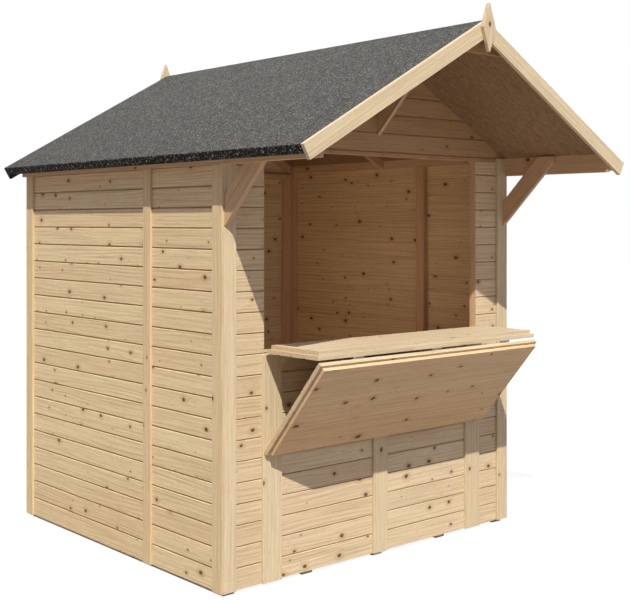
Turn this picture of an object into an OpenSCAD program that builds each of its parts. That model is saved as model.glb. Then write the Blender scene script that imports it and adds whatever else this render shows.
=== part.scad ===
// Wooden market stall: boarded walls on bearers, an apex roof with a deep front overhang
// and a serving hatch of two leaves. The lower leaf drops to a counter and the upper leaf
// folds under it as a prop. X runs across the front, -Y is the serving side, Z is up.
// The origin lies under the middle of the roof's length, on the underside of the bearers.

/* [Walls] */
// Width of the stall over its side boards
stall_w = 1836; // [1500:2:2600]
// Depth of the stall over its front and back boards
stall_d = 1736; // [1200:10:2600]
// Height of the eave beams' underside above the boards' foot
side_h = 1801; // [1700:5:2100]
// Distance from the top of the eave beams down to the lower edge of the gables
gable_drop = 20; // [5:1:40]
// Thickness of the wall boards
board_t = 12; // [9:1:20]
// Depth of the studs and rails behind the boards
stud_d = 30; // [24:1:60]
// Width of a stud
stud_w = 58; // [36:1:70]
// Height of the rails, the sill and the lintel
rail_h = 36; // [30:1:60]
// Gap between two wall panels under a cover batten
panel_gap = 2; // [1:1:6]
// Distance from the front boards to the middle of the side cover battens
side_joint_y = 565; // [450:1:700]

/* [Floor] */
// Height of the floor bearers
bearer_h = 45; // [36:1:90]
// Width of the floor bearers
bearer_w = 60; // [45:1:90]
// Number of floor bearers
bearer_count = 5; // [3:1:7]
// How far the bearers show below the wall boards
bearer_show = 16; // [5:1:30]
// Thickness of the floor
floor_t = 18; // [15:1:28]

/* [Trims] */
// Thickness of the corner trims, battens and cover strips
trim_t = 13; // [8:1:20]
// Width of the corner trims on the front and back
face_trim_w = 64; // [40:1:80]
// Width of the corner trims on the sides, which lap the edges of the others
side_trim_w = 70; // [56:1:90]
// Width of the cover battens on the side and back walls
batten_w = 60; // [40:1:80]
// Width of the cover trim beside each lower front panel
cover_w = 63; // [50:1:80]
// Width of the strip inside that cover trim
strip_w = 43; // [30:1:60]
// Width of the post between the two lower front panels
mullion_w = 92; // [70:1:120]

/* [Serving opening] */
// Clear width of the serving opening
opening_w = 1390; // [1000:10:1500]
// Height of the top of the sill above the boards' foot
sill_h = 1002.5; // [850:0.5:1100]

/* [Hatch] */
// Depth of the counter leaf
counter_d = 335; // [250:5:400]
// Thickness of the outer boards of each leaf
leaf_outer_t = 18; // [12:1:22]
// Thickness of the inner boards of each leaf
leaf_inner_t = 18; // [12:1:22]
// Distance that the closed outer boards lap over the edge of the opening
leaf_lap = 10; // [6:1:14]
// Gap round the closed leaves, and between them
leaf_gap = 5; // [5:0.5:8]
// Distance that the inner boards stand back from the fold between the leaves
fold_inset = 12; // [8:1:20]
// Height of the ledger that carries the hatch hinges
ledger_h = 48; // [40:1:80]
// Gap between the foot of the prop leaf and the battens it leans on
lean_gap = 0.3; // [0.2:0.1:0.5]

/* [Hinges] */
// Length of one hinge along its pin
hinge_l = 60; // [50:1:90]
// Radius of a hinge knuckle
knuckle_r = 4.3; // [4:0.1:4.4]
// Radius of a hinge pin
pin_r = 2.5; // [2:0.1:3]
// Radial clearance between a pin and the knuckle that turns on it
pin_play = 0.1; // [0.05:0.01:0.1]
// Distance from the pin to the face that the hinge plates are fixed to
pin_offset = 4; // [3.9:0.1:4.4]
// Thickness of a hinge plate
plate_t = 1.5; // [1:0.1:2]
// Reach of a hinge plate from its pin
plate_reach = 40; // [25:1:44]
// Length of the middle knuckle
middle_l = 20; // [14:1:26]
// Gap between two knuckles along the pin
knuckle_gap = 0.4; // [0.3:0.1:1]
// Distance from the middle hinge to each outer hinge
hinge_step = 480; // [300:10:520]

/* [Roof] */
// Slope of the roof in degrees
roof_pitch = 29.3; // [22:0.1:35]
// Distance from the side boards to the folded edge of the felt
eave_overhang = 116; // [90:1:200]
// Distance from the front boards to the front edge of the roof
front_overhang = 640; // [400:5:700]
// Distance from the back boards to the back edge of the roof
rear_overhang = 68; // [30:1:120]
// Thickness of the roof deck
deck_t = 15; // [9:1:22]
// Thickness of the felt
felt_t = 3; // [2:0.5:6]
// Depth of the felt where it turns down over the eave
felt_drop = 41; // [30:1:55]
// Depth of the verge below the top of the felt
verge_h = 66; // [45:1:80]
// Thickness of the verge boards and eave rails
rail_t = 18; // [12:1:25]

/* [Roof timbers] */
// Width of the eave beams
beam_w = 20; // [16:1:30]
// Height of the eave beams where they meet the side boards
beam_h = 91; // [60:1:120]
// Width of the ridge board and rafters
timber_w = 28; // [22:1:40]
// Thickness of the braces
brace_t = 20; // [16:1:40]
// Depth of the ridge board below the deck
ridge_board_h = 90; // [70:1:120]
// Depth of the rafters
rafter_h = 45; // [36:1:60]
// Depth of the braces across their slope
brace_h = 90; // [60:1:110]
// Distance from the top of the side boards down to the foot of the corner braces
brace_foot_drop = 261; // [200:1:350]
// Height of the foot of the ridge brace above the lower edge of the gable
ridge_brace_rise = 98; // [20:1:150]
// Height of the lower edge of the apex gusset below the ridge
gusset_drop = 136; // [130:1:200]
// How far the apex gusset stands back behind the bargeboards
gusset_inset = 40; // [0:2:120]
// Thickness of the bargeboards and the apex gusset
barge_t = 18; // [12:1:25]
// Depth of the bargeboards
barge_h = 68; // [60:1:100]

/* [Finials] */
// Height of a finial
finial_h = 210; // [150:2:260]
// Width of a finial at its middle
finial_w = 82; // [60:2:120]
// Width of the blunt tip of a finial
finial_tip_w = 5; // [4:1:24]
// Width of the lower point of a finial
finial_foot_w = 6; // [2:1:20]
// Thickness of the front finial
front_finial_t = 18; // [15:1:40]
// Thickness of the back finial
rear_finial_t = 18; // [15:1:40]
// Height of a finial's tip above the ridge of the felt
finial_rise = 69; // [40:1:100]

/* [Hidden] */
$fn = 48;

wood = "burlywood";
pale_wood = "wheat";
frame_wood = "tan";
deck_wood = "peru";
felt_grey = "dimgray";
steel = "silver";

half_w = stall_w / 2;
frame_x = half_w - board_t - stud_d;
base_z = bearer_show;
wall_top_z = base_z + side_h;
head_z = wall_top_z + beam_h - gable_drop;
sill_z = base_z + sill_h;
floor_z = bearer_h + floor_t;
half_open = opening_w / 2;

// The whole length of the roof is centred on the origin, so this is where the front boards stand
front_len = front_overhang + barge_t + front_finial_t;
rear_len = rear_overhang + rear_finial_t;
front_y = (front_len - stall_d - rear_len) / 2;

// Roof section: a point u down the slope from the ridge and v above the top of the felt
slope_cos = cos(roof_pitch);
slope_sin = sin(roof_pitch);
slope_tan = tan(roof_pitch);
slope_l = (half_w + eave_overhang) / slope_cos;
deck_under = felt_t + deck_t;
// Timbers under the deck stand off its sloping face by a hair
seat_gap = 0.05;
timber_v = -deck_under - seat_gap;
ridge_z = wall_top_z + beam_h + half_w * slope_tan + deck_under / slope_cos;
function slope_point(u, v) = [u * slope_cos + v * slope_sin, ridge_z - u * slope_sin + v * slope_cos];
// The same section where it is cut plumb at x
function plumb_point(x, v) = [x, ridge_z + v / slope_cos - x * slope_tan];
ridge_under_z = ridge_z - deck_under / slope_cos - ridge_board_h;
ridge_clear = 1;
// Underside of the rail along the top of each side wall
side_rail_z = plumb_point(frame_x + stud_d / 2, timber_v)[1] - rail_h;
// Underside of the rail along the top of the back wall, below the ends of the rafters
end_rail_z = plumb_point(frame_x, -deck_under - rafter_h)[1] - seat_gap - rail_h;

// Hatch, with y counted from the front boards
axis_back = leaf_gap + leaf_outer_t;
sill_axis_y = -axis_back - pin_offset;
sill_axis_z = sill_z - leaf_lap - leaf_gap / 2;
fold_axis_y = sill_axis_y - leaf_gap - counter_d;
rebate = leaf_lap + leaf_gap;
leaf_half = half_open + leaf_lap;
prop_d = head_z + leaf_lap - (sill_z - leaf_lap) - counter_d - leaf_gap;
prop_reach = leaf_gap / 2 + prop_d;
lean_run = -fold_axis_y - trim_t - lean_gap;
lean_angle = asin(lean_run / norm([prop_reach, pin_offset])) + atan(pin_offset / prop_reach);
ledger_z = sill_z - leaf_lap - leaf_gap - ledger_h;
ledger_top_z = ledger_z + ledger_h;
hinge_places = [-hinge_step, 0, hinge_step];

module block(x, y, z) {
    translate([x[0], y[0], z[0]])
        cube([x[1] - x[0], y[1] - y[0], z[1] - z[0]]);
}

// Two copies, one on each side of the middle
module both_sides() {
    children();
    mirror([1, 0, 0])
        children();
}

// Moves a piece that is placed from the front boards into the part's own frame
module from_front() {
    translate([0, front_y, 0])
        children();
}

// An outline in X and Z that runs from y0 back to y1
module front_profile(points, y0, y1) {
    translate([0, y1, 0])
        rotate([90, 0, 0])
            linear_extrude(y1 - y0)
                polygon(points);
}

// An outline in Y and Z that runs from x0 to x1
module side_profile(points, x0, x1) {
    translate([x0, 0, 0])
        rotate([90, 0, 90])
            linear_extrude(x1 - x0)
                polygon(points);
}

// ---- Floor

module floor_bearers() {
    inset = board_t + bearer_w / 2;
    step = (stall_w - 2 * inset) / (bearer_count - 1);
    color(pale_wood)
        from_front()
            for (i = [0 : bearer_count - 1]) {
                middle = -half_w + inset + i * step;
                block([middle - bearer_w / 2, middle + bearer_w / 2],
                    [board_t, stall_d - board_t], [0, bearer_h]);
            }
}

module floor_deck() {
    color(frame_wood)
        from_front()
            block([board_t - half_w, half_w - board_t], [board_t, stall_d - board_t],
                [bearer_h, floor_z]);
}

// ---- Boards

// The side boards run up behind the eave beam to the roof deck
module side_boards() {
    inner = half_w - board_t;
    outline = [[inner, base_z], [half_w, base_z], plumb_point(half_w, timber_v),
        plumb_point(inner, timber_v)];
    color(wood)
        from_front() {
            front_profile(outline, 0, side_joint_y - panel_gap / 2);
            front_profile(outline, side_joint_y + panel_gap / 2, stall_d);
        }
}

module left_wall_boards() {
    mirror([1, 0, 0])
        side_boards();
}

module right_wall_boards() {
    side_boards();
}

module back_wall_boards() {
    color(wood)
        from_front()
            both_sides()
                block([panel_gap / 2, half_w - board_t], [stall_d - board_t, stall_d],
                    [base_z, head_z]);
}

// A gable from its lower edge up to the roof deck, with plumb ends at edge
function gable_outline(edge) = [[-edge, head_z], [edge, head_z], plumb_point(edge, timber_v),
    plumb_point(0, timber_v), [-edge, plumb_point(edge, timber_v)[1]]];

module rear_gable_boards() {
    color(wood)
        from_front()
            front_profile(gable_outline(half_w - board_t), stall_d - board_t, stall_d);
}

module front_side_panels() {
    color(wood)
        from_front()
            both_sides()
                block([half_open, half_w - board_t], [0, board_t], [base_z, head_z]);
}

module lower_front_panels() {
    color(wood)
        from_front()
            both_sides()
                block([panel_gap / 2, half_open], [0, board_t], [base_z, sill_z]);
}

module front_gable_boards() {
    notch = timber_w / 2 + ridge_clear;
    color(wood)
        from_front()
            difference() {
                front_profile(gable_outline(half_w - board_t), 0, board_t);
                block([-notch, notch], [-1, board_t + 1], [ridge_under_z - ridge_clear, ridge_z]);
            }
}

// ---- Frame behind the boards

module side_wall_studs() {
    last = stall_d - board_t;
    color(frame_wood)
        from_front()
            both_sides()
                for (y = [board_t, side_joint_y - stud_w / 2, last - stud_w])
                    block([frame_x, frame_x + stud_d], [y, y + stud_w],
                        [floor_z + rail_h, side_rail_z]);
}

module end_wall_studs() {
    back = stall_d - board_t - stud_d;
    low = floor_z + rail_h;
    high = end_rail_z;
    half = stud_w / 2;
    color(frame_wood)
        from_front() {
            both_sides() {
                block([half_open, half_open + stud_w], [board_t, board_t + stud_d], [low, head_z]);
                block([frame_x - stud_w, frame_x], [back, back + stud_d], [low, high]);
            }
            block([-half, half], [board_t, board_t + stud_d], [low, sill_z - rail_h]);
            block([-half, half], [back, back + stud_d], [low, high]);
        }
}

// A rail across the front or back, between the side rails
module cross_rail(y, z) {
    joint = 0.5;
    block([joint - frame_x, frame_x - joint], [y, y + stud_d], [z, z + rail_h]);
}

module bottom_rails() {
    color(frame_wood)
        from_front() {
            both_sides()
                block([frame_x, frame_x + stud_d], [board_t, stall_d - board_t],
                    [floor_z, floor_z + rail_h]);
            cross_rail(board_t, floor_z);
            cross_rail(stall_d - board_t - stud_d, floor_z);
        }
}

// The side rails are planed to the slope of the roof
module top_rails() {
    outer = frame_x + stud_d;
    color(frame_wood)
        from_front() {
            both_sides()
                front_profile([[frame_x, side_rail_z], [outer, side_rail_z],
                    plumb_point(outer, timber_v), plumb_point(frame_x, timber_v)],
                    board_t, stall_d - board_t);
            cross_rail(stall_d - board_t - stud_d, end_rail_z);
        }
}

module sill() {
    color(frame_wood)
        from_front()
            block([-half_open, half_open], [board_t, board_t + stud_d], [sill_z - rail_h, sill_z]);
}

module lintel() {
    rafter_under = ridge_z - (deck_under + rafter_h) / slope_cos;
    reach = (rafter_under - head_z - rail_h) / slope_tan;
    color(frame_wood)
        from_front()
            block([-reach, reach], [board_t, board_t + stud_d], [head_z, head_z + rail_h]);
}

// ---- Trims

module corner_face_trims() {
    inner = half_w - face_trim_w;
    top_z = plumb_point(half_w, timber_v)[1];
    color(pale_wood)
        from_front()
            both_sides() {
                block([inner, half_w], [-trim_t, 0], [base_z, top_z]);
                block([inner, half_w], [stall_d, stall_d + trim_t], [base_z, top_z]);
            }
}

module corner_side_trims() {
    color(pale_wood)
        from_front()
            both_sides() {
                block([half_w, half_w + trim_t], [-trim_t, side_trim_w - trim_t],
                    [base_z, wall_top_z]);
                block([half_w, half_w + trim_t], [stall_d + trim_t - side_trim_w, stall_d + trim_t],
                    [base_z, wall_top_z]);
            }
}

module side_cover_battens() {
    color(pale_wood)
        from_front()
            both_sides()
                block([half_w, half_w + trim_t],
                    [side_joint_y - batten_w / 2, side_joint_y + batten_w / 2],
                    [base_z, wall_top_z]);
}

module back_cover_batten() {
    color(pale_wood)
        from_front()
            block([-batten_w / 2, batten_w / 2], [stall_d, stall_d + trim_t], [base_z, head_z]);
}

module front_battens() {
    cover_x = half_open + rebate - cover_w;
    joint = 0.5;
    color(pale_wood)
        from_front() {
            both_sides() {
                block([cover_x, cover_x + cover_w], [-trim_t, 0], [base_z, ledger_top_z]);
                block([cover_x - strip_w, cover_x - joint], [-trim_t, 0], [base_z, ledger_top_z]);
            }
            block([-mullion_w / 2, mullion_w / 2], [-trim_t, 0], [base_z, ledger_z]);
        }
}

module hatch_ledger() {
    reach = half_open + rebate - cover_w - strip_w;
    color(pale_wood)
        from_front()
            block([-reach, reach], [-axis_back, 0], [ledger_z, ledger_top_z]);
}

// ---- Roof timbers

// The eave beams lie outside the side boards and carry the front overhang
module eave_beam() {
    outer = half_w + beam_w;
    color(frame_wood)
        from_front()
            front_profile([[half_w, wall_top_z], [outer, wall_top_z],
                plumb_point(outer, timber_v), plumb_point(half_w, timber_v)],
                -front_overhang, stall_d + rear_overhang - felt_t - rail_t);
}

module left_eave_beam() {
    mirror([1, 0, 0])
        eave_beam();
}

module right_eave_beam() {
    eave_beam();
}

// The braces rise forward at 45 degrees from a plumb foot
module knee_braces() {
    top_z = wall_top_z + beam_h;
    foot_z = wall_top_z - brace_foot_drop;
    rise = top_z - foot_z;
    plumb_h = brace_h * sqrt(2);
    cut = brace_h / (2 * sqrt(2));
    color(pale_wood)
        from_front()
            both_sides()
                side_profile([[-trim_t, foot_z], [-trim_t, foot_z + plumb_h],
                    [-trim_t - rise + plumb_h, top_z], [-trim_t - rise + cut, top_z],
                    [-trim_t - rise + cut, top_z - cut]], half_w - brace_t, half_w);
}

module ridge_brace() {
    foot_z = head_z + ridge_brace_rise;
    plumb_h = brace_h * sqrt(2);
    rise = ridge_under_z - foot_z;
    color(pale_wood)
        from_front()
            side_profile([[0, foot_z], [0, foot_z + plumb_h], [plumb_h - rise, ridge_under_z],
                [-rise, ridge_under_z]], -brace_t / 2, brace_t / 2);
}

module ridge_board() {
    half = timber_w / 2;
    shoulder = plumb_point(half, timber_v);
    color(frame_wood)
        from_front()
            front_profile([[-half, ridge_under_z], [half, ridge_under_z], shoulder,
                plumb_point(0, timber_v), [-half, shoulder[1]]],
                gusset_inset + barge_t - front_overhang, stall_d - board_t);
}

module rafters() {
    low = -deck_under - rafter_h;
    middle = (stall_d - timber_w) / 2;
    color(frame_wood)
        from_front()
            for (y = [board_t, middle, stall_d - board_t - timber_w])
                front_profile([plumb_point(timber_w / 2, low), plumb_point(frame_x, low),
                    plumb_point(frame_x, timber_v), plumb_point(timber_w / 2, timber_v)],
                    y, y + timber_w);
}

module left_rafters() {
    mirror([1, 0, 0])
        rafters();
}

module right_rafters() {
    rafters();
}

// ---- Roof covering

module roof_deck() {
    edge = slope_l - felt_t;
    color(deck_wood)
        from_front()
            front_profile([plumb_point(0, -deck_under), slope_point(edge, -deck_under),
                slope_point(edge, -felt_t), plumb_point(0, -felt_t)],
                -front_overhang, stall_d + rear_overhang - felt_t);
}

module left_roof_deck() {
    mirror([1, 0, 0])
        roof_deck();
}

module right_roof_deck() {
    roof_deck();
}

// The felt turns down over the eave, and over the back verge
module felt() {
    edge = slope_l - felt_t;
    back = stall_d + rear_overhang;
    color(felt_grey)
        from_front()
            union() {
                front_profile([plumb_point(0, -felt_t), slope_point(edge, -felt_t),
                    slope_point(edge, -felt_drop), slope_point(slope_l, -felt_drop),
                    slope_point(slope_l, 0), plumb_point(0, 0)], -front_overhang, back);
                front_profile([plumb_point(0, -verge_h), slope_point(edge, -verge_h),
                    slope_point(edge, -felt_t), plumb_point(0, -felt_t)], back - felt_t, back);
            }
}

module left_felt() {
    mirror([1, 0, 0])
        felt();
}

module right_felt() {
    felt();
}

module eave_rails() {
    edge = slope_l - felt_t;
    color(pale_wood)
        from_front()
            both_sides()
                front_profile([slope_point(edge - rail_t, -felt_drop), slope_point(edge, -felt_drop),
                    slope_point(edge, timber_v), slope_point(edge - rail_t, timber_v)],
                    -front_overhang, stall_d + rear_overhang - felt_t - rail_t);
}

module bargeboard() {
    color(pale_wood)
        from_front()
            front_profile([plumb_point(0, -barge_h), slope_point(slope_l, -barge_h),
                slope_point(slope_l, 0), plumb_point(0, 0)],
                -front_overhang - barge_t, -front_overhang);
}

module left_bargeboard() {
    mirror([1, 0, 0])
        bargeboard();
}

module right_bargeboard() {
    bargeboard();
}

module rear_verge_boards() {
    joint = 0.5;
    edge = slope_l - felt_t;
    back = stall_d + rear_overhang - felt_t;
    color(pale_wood)
        from_front()
            both_sides()
                front_profile([plumb_point(joint, -verge_h), slope_point(edge, -verge_h),
                    slope_point(edge, timber_v), plumb_point(joint, timber_v)],
                    back - rail_t, back);
}

module apex_gusset() {
    low_z = ridge_z - gusset_drop;
    reach = (gusset_drop + timber_v / slope_cos) / slope_tan;
    color(pale_wood)
        from_front()
            front_profile([[-reach, low_z], [reach, low_z], plumb_point(0, timber_v)],
                gusset_inset - front_overhang, gusset_inset + barge_t - front_overhang);
}

module finial(y0, y1) {
    tip_z = ridge_z + finial_rise;
    middle_z = tip_z - finial_h / 2;
    foot_z = tip_z - finial_h;
    tip = finial_tip_w / 2;
    foot = finial_foot_w / 2;
    wide = finial_w / 2;
    color(pale_wood)
        from_front()
            front_profile([[-tip, tip_z], [tip, tip_z], [wide, middle_z], [foot, foot_z],
                [-foot, foot_z], [-wide, middle_z]], y0, y1);
}

module front_finial() {
    finial(-front_overhang - barge_t - front_finial_t, -front_overhang - barge_t);
}

module rear_finial() {
    finial(stall_d + rear_overhang, stall_d + rear_overhang + rear_finial_t);
}

// ---- Hatch

// Places a leaf so that its pin runs along X, the leaf reaches out along +Y and its
// outer face lies at pin_offset above the pin
module at_sill_counter() {
    translate([0, front_y + sill_axis_y, sill_axis_z])
        rotate([0, 0, 180])
            children();
}

module at_sill_ledger() {
    translate([0, front_y + sill_axis_y, sill_axis_z])
        rotate([-90, 0, 0])
            children();
}

module at_fold_counter() {
    translate([0, front_y + fold_axis_y, sill_axis_z])
        children();
}

module at_fold_prop() {
    translate([0, front_y + fold_axis_y, sill_axis_z])
        rotate([0, 0, 180])
            rotate([-90 - lean_angle, 0, 0])
                children();
}

module counter_outer_boards() {
    color(pale_wood)
        at_sill_counter()
            block([-leaf_half, leaf_half], [leaf_gap / 2, leaf_gap / 2 + counter_d],
                [pin_offset, pin_offset + leaf_outer_t]);
}

module counter_top() {
    low = pin_offset + leaf_outer_t;
    color(pale_wood)
        at_sill_counter()
            block([rebate - leaf_half, leaf_half - rebate],
                [leaf_gap / 2 + rebate, leaf_gap / 2 + counter_d - fold_inset],
                [low, low + leaf_inner_t]);
}

module prop_outer_boards() {
    color(pale_wood)
        at_fold_prop()
            block([-leaf_half, leaf_half], [leaf_gap / 2, prop_reach],
                [pin_offset, pin_offset + leaf_outer_t]);
}

module prop_face_boards() {
    low = pin_offset + leaf_outer_t;
    color(pale_wood)
        at_fold_prop()
            block([rebate - leaf_half, leaf_half - rebate],
                [leaf_gap / 2 + fold_inset, prop_reach - rebate], [low, low + leaf_inner_t]);
}

// ---- Hinges

plate_start = knuckle_r + 0.7;
tab_start = 1.5;
end_start = middle_l / 2 + knuckle_gap;

module plate(x0, x1, start, reach) {
    block([x0, x1], [start, reach], [pin_offset - plate_t, pin_offset]);
}

module round_x(r, x0, x1) {
    translate([x0, 0, 0])
        rotate([0, 90, 0])
            cylinder(r = r, h = x1 - x0);
}

// The half with the pin and the two end knuckles
module pin_half() {
    half = hinge_l / 2;
    plate(-half, half, plate_start, plate_reach);
    both_sides() {
        plate(end_start, half, tab_start, plate_start);
        round_x(knuckle_r, end_start, half);
    }
    round_x(pin_r, -half, half);
}

// The half with the bored middle knuckle
module bored_half() {
    half = hinge_l / 2;
    middle = middle_l / 2;
    plate(-half, half, plate_start, plate_reach);
    difference() {
        union() {
            plate(-middle, middle, tab_start, plate_start);
            round_x(knuckle_r, -middle, middle);
        }
        round_x(pin_r + pin_play, -middle - 1, middle + 1);
    }
}

module along_hinges() {
    for (x = hinge_places)
        translate([x, 0, 0])
            children();
}

module fixed_hinges() {
    color(steel)
        at_sill_ledger()
            along_hinges()
                pin_half();
}

module counter_hinges() {
    color(steel) {
        at_sill_counter()
            along_hinges()
                bored_half();
        at_fold_counter()
            along_hinges()
                pin_half();
    }
}

module prop_hinges() {
    color(steel)
        at_fold_prop()
            along_hinges()
                bored_half();
}

floor_bearers();
floor_deck();
left_wall_boards();
right_wall_boards();
back_wall_boards();
rear_gable_boards();
front_side_panels();
lower_front_panels();
front_gable_boards();
side_wall_studs();
end_wall_studs();
bottom_rails();
top_rails();
sill();
lintel();
corner_face_trims();
corner_side_trims();
side_cover_battens();
back_cover_batten();
front_battens();
hatch_ledger();
left_eave_beam();
right_eave_beam();
knee_braces();
ridge_brace();
ridge_board();
left_rafters();
right_rafters();
left_roof_deck();
right_roof_deck();
left_felt();
right_felt();
eave_rails();
left_bargeboard();
right_bargeboard();
rear_verge_boards();
apex_gusset();
front_finial();
rear_finial();
counter_outer_boards();
counter_top();
prop_outer_boards();
prop_face_boards();
fixed_hinges();
counter_hinges();
prop_hinges();
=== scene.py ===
from bisect import bisect_right
from math import cos, floor, pi, radians, sin
from random import Random

import bmesh
import bpy
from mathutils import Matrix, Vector, noise
from mathutils.geometry import normal as faceNormal


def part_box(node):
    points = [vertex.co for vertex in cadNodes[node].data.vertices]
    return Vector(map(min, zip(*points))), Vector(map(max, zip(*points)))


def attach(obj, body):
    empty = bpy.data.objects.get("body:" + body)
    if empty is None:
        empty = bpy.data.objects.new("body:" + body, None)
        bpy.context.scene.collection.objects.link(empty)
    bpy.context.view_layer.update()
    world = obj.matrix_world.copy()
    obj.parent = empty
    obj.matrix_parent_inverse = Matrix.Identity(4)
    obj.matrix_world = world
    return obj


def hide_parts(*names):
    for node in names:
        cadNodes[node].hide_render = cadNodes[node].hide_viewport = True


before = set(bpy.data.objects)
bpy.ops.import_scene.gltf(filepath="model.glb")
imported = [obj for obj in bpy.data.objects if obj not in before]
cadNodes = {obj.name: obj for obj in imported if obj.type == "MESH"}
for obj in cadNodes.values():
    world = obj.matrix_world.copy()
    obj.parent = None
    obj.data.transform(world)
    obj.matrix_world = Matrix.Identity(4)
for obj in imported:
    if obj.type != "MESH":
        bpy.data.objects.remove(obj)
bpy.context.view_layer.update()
acrossFront = Vector((1, 0, 0))
frontToBack = Vector((0, 1, 0))
upwards = Vector((0, 0, 1))
# How near counts as the same height, point or level, in metres, and how flat as one face
closeness = {"same": 1e-9, "hair": 1e-6, "weld": 1e-5, "level": 1e-4, "flatDegrees": 0.5}
print("frame loaded,", len(cadNodes), "nodes")


# Small helpers that wire shader nodes: a value may be a socket or a number

def feed(tree, socket, value):
    if isinstance(value, bpy.types.NodeSocket):
        tree.links.new(value, socket)
    else:
        socket.default_value = value


def reckon(tree, operation, *values, clamp=False):
    node = tree.nodes.new("ShaderNodeMath")
    node.operation = operation
    node.use_clamp = clamp
    for socket, value in zip(node.inputs, values):
        feed(tree, socket, value)
    return node.outputs[0]


def reckonVector(tree, operation, *values, output=0):
    node = tree.nodes.new("ShaderNodeVectorMath")
    node.operation = operation
    for socket, value in zip(node.inputs, values):
        feed(tree, socket, value)
    return node.outputs[output]


def joinVector(tree, x, y, z):
    node = tree.nodes.new("ShaderNodeCombineXYZ")
    for socket, value in zip(node.inputs, (x, y, z)):
        feed(tree, socket, value)
    return node.outputs[0]


def ease(tree, value, start, end, low=0.0, high=1.0):
    node = tree.nodes.new("ShaderNodeMapRange")
    node.interpolation_type = "SMOOTHSTEP"
    feed(tree, node.inputs["Value"], value)
    for label, amount in (("From Min", start), ("From Max", end), ("To Min", low), ("To Max", high)):
        node.inputs[label].default_value = amount
    return node.outputs[0]


def speckle(tree, place, scale, detail=2.0, roughness=0.5, distortion=0.0):
    node = tree.nodes.new("ShaderNodeTexNoise")
    feed(tree, node.inputs["Vector"], place)
    node.inputs["Scale"].default_value = scale
    node.inputs["Detail"].default_value = detail
    node.inputs["Roughness"].default_value = roughness
    node.inputs["Distortion"].default_value = distortion
    return node.outputs["Fac"]


def blendColours(tree, share, first, second, blend="MIX"):
    node = tree.nodes.new("ShaderNodeMix")
    node.data_type = "RGBA"
    node.blend_type = blend
    node.clamp_factor = True
    feed(tree, node.inputs["Factor"], share)
    feed(tree, node.inputs[6], first)
    feed(tree, node.inputs[7], second)
    return node.outputs[2]


def cellShade(tree, place, scale):
    cells = tree.nodes.new("ShaderNodeTexVoronoi")
    cells.inputs["Scale"].default_value = scale
    tree.links.new(place, cells.inputs["Vector"])
    parts = tree.nodes.new("ShaderNodeSeparateColor")
    tree.links.new(cells.outputs["Color"], parts.inputs[0])
    return parts.outputs[0], cells.outputs["Distance"]


def attribute(tree, name, output):
    node = tree.nodes.new("ShaderNodeAttribute")
    node.attribute_name = name
    return node.outputs[output]


def shareOut(tree, first, firstShare, second, secondShare):
    return reckon(tree, "ADD", reckon(tree, "MULTIPLY", first, firstShare),
                  reckon(tree, "MULTIPLY", second, secondShare))


def putInScene(name, data):
    thing = bpy.data.objects.new(name, data)
    bpy.context.scene.collection.objects.link(thing)
    return thing


def openMaterial(name, specular=0.5):
    material = bpy.data.materials.new(name)
    material.use_nodes = True
    tree = material.node_tree
    shader = tree.nodes["Principled BSDF"]
    shader.inputs["Specular IOR Level"].default_value = specular
    return material, tree, shader


def raiseBump(tree, shader, height, strength, distance):
    bump = tree.nodes.new("ShaderNodeBump")
    bump.inputs["Strength"].default_value = strength
    bump.inputs["Distance"].default_value = distance
    tree.links.new(height, bump.inputs["Height"])
    tree.links.new(bump.outputs["Normal"], shader.inputs["Normal"])


def openGroup(name, inputs, outputs):
    group = bpy.data.node_groups.new(name, "ShaderNodeTree")
    for label, kind, value in inputs:
        socket = group.interface.new_socket(name=label, in_out="INPUT", socket_type="NodeSocket" + kind)
        if value is not None:
            socket.default_value = value
    for label, kind in outputs:
        group.interface.new_socket(name=label, in_out="OUTPUT", socket_type="NodeSocket" + kind)
    entry = group.nodes.new("NodeGroupInput")
    leaving = group.nodes.new("NodeGroupOutput")
    return group, entry.outputs, leaving.inputs


# The figure of a softwood board: year rings, fibres and knots that the rings flow round.
# A triple of pineGrain says how fast a pattern changes per metre along, across and through a board,
# and an edge in knotCell says at how many knot sizes from the middle a colour starts and is full.
knotCell = {"along": 0.165, "across": 0.088, "stretch": 0.72, "scatter": 0.9, "ragScale": 160.0,
            "sizeSpread": (0.1, 1.0, 0.35, 1.4), "coreEdge": (1.15, 0.7), "heartEdge": (0.6, 0.1),
            "haloEdge": (3.6, 0.9), "shownAbove": -0.5}
pineGrain = {"swell": (0.8, 7.0, 7.0), "strength": (0.7, 22.0, 1.0), "streak": (2.6, 140.0, 140.0),
             "fibre": (9.0, 420.0, 420.0), "blotch": (2.2, 9.0, 1.0), "fleck": (26.0, 380.0, 380.0),
             "blotchEdge": (0.3, 0.75), "streakEdge": (0.42, 0.75), "fleckSpread": (0.62, 0.74, 0.0, 0.55),
             "ringsPerMetre": 55.0, "ringRise": (0.35, 0.9), "ringFall": (1.0, 0.93),
             "strengthSpread": (0.38, 0.68, 0.15, 1.0), "fibreGrit": (0.25, 0.75, 0.92, 1.07),
             "streakGrit": (0.2, 0.8, 1.06, 0.93), "dullness": (0.2, 0.8, 0.56, 0.7), "ringGloss": 0.12,
             "knotShove": 0.85, "streakShare": 0.27, "blotchShare": 0.3, "haloShare": 0.42,
             # The joint-face share and colour on these lines paint shade into the boards' grooves
             "coreShare": 0.97, "heartShare": 0.2, "cutShare": 0.3, "shadeShare": 0.8,
             "paintedGrooveShade": (0.33, 0.19, 0.085, 1), "ringHeight": 0.6, "fibreHeight": 0.8, "knotSink": 0.5}


def grainNoise(tree, parts, pattern, detail=2.0, roughness=0.5):
    scaled = [reckon(tree, "MULTIPLY", part, factor) for part, factor in zip(parts, pineGrain[pattern])]
    return speckle(tree, joinVector(tree, *scaled), 1.0, detail, roughness)


def scaleBy(tree, value, label):
    return reckon(tree, "MULTIPLY", value, pineGrain[label])


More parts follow.
